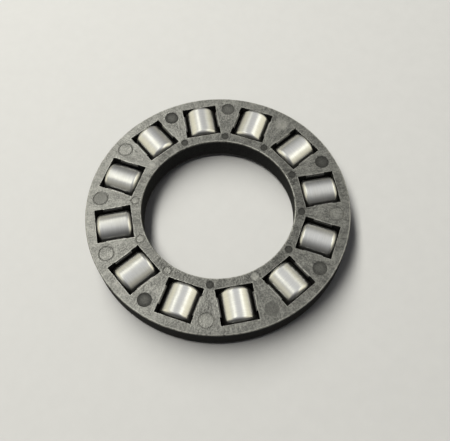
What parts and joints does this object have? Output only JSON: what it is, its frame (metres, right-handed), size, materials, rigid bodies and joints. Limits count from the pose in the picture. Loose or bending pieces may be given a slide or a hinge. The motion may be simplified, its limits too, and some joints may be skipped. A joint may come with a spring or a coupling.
{
  "type": "axial roller and cage assembly",
  "caption": "Flat thrust bearing ring: a moulded black cage whose open pockets hold short steel rollers lying like spokes, each free to spin and standing proud of both faces.",
  "frame": {"origin": "centre of the bore, at the middle of the cage's height", "axes": "+Z along the bearing's axis, out of the face with the moulding marks; +X out along the first roller"},
  "size_m": [0.0346, 0.0346, 0.0044],
  "materials": {
    "cage_plastic": "matt black glass-filled moulded plastic",
    "roller_steel": "fine ground hardened steel"
  },
  "bodies": {
    "cage": {"cage": "cage_plastic"},
    "roller_01": {"roller_01": "roller_steel"},
    "roller_02": {"roller_02": "roller_steel"},
    "roller_03": {"roller_03": "roller_steel"},
    "roller_04": {"roller_04": "roller_steel"},
    "roller_05": {"roller_05": "roller_steel"},
    "roller_06": {"roller_06": "roller_steel"},
    "roller_07": {"roller_07": "roller_steel"},
    "roller_08": {"roller_08": "roller_steel"},
    "roller_09": {"roller_09": "roller_steel"},
    "roller_10": {"roller_10": "roller_steel"},
    "roller_11": {"roller_11": "roller_steel"},
    "roller_12": {"roller_12": "roller_steel"}
  },
  "joints": [
    {"name": "roller_01_spin", "type": "hinge", "parent": "cage", "child": "roller_01", "pos_m": [0.01365, 0, 0], "axis": [1, 0, 0], "continuous": true},
    {"name": "roller_02_spin", "type": "hinge", "parent": "cage", "child": "roller_02", "pos_m": [0.01182, 0.00683, 0], "axis": [0.866, 0.5, 0], "continuous": true},
    {"name": "roller_03_spin", "type": "hinge", "parent": "cage", "child": "roller_03", "pos_m": [0.00683, 0.01182, 0], "axis": [0.5, 0.866, 0], "continuous": true},
    {"name": "roller_04_spin", "type": "hinge", "parent": "cage", "child": "roller_04", "pos_m": [0, 0.01365, 0], "axis": [0, 1, 0], "continuous": true},
    {"name": "roller_05_spin", "type": "hinge", "parent": "cage", "child": "roller_05", "pos_m": [-0.00683, 0.01182, 0], "axis": [-0.5, 0.866, 0], "continuous": true},
    {"name": "roller_06_spin", "type": "hinge", "parent": "cage", "child": "roller_06", "pos_m": [-0.01182, 0.00683, 0], "axis": [-0.866, 0.5, 0], "continuous": true},
    {"name": "roller_07_spin", "type": "hinge", "parent": "cage", "child": "roller_07", "pos_m": [-0.01365, 0, 0], "axis": [-1, 0, 0], "continuous": true},
    {"name": "roller_08_spin", "type": "hinge", "parent": "cage", "child": "roller_08", "pos_m": [-0.01182, -0.00683, 0], "axis": [-0.866, -0.5, 0], "continuous": true},
    {"name": "roller_09_spin", "type": "hinge", "parent": "cage", "child": "roller_09", "pos_m": [-0.00683, -0.01182, 0], "axis": [-0.5, -0.866, 0], "continuous": true},
    {"name": "roller_10_spin", "type": "hinge", "parent": "cage", "child": "roller_10", "pos_m": [0, -0.01365, 0], "axis": [0, -1, 0], "continuous": true},
    {"name": "roller_11_spin", "type": "hinge", "parent": "cage", "child": "roller_11", "pos_m": [0.00683, -0.01182, 0], "axis": [0.5, -0.866, 0], "continuous": true},
    {"name": "roller_12_spin", "type": "hinge", "parent": "cage", "child": "roller_12", "pos_m": [0.01182, -0.00683, 0], "axis": [0.866, -0.5, 0], "continuous": true}
  ]
}
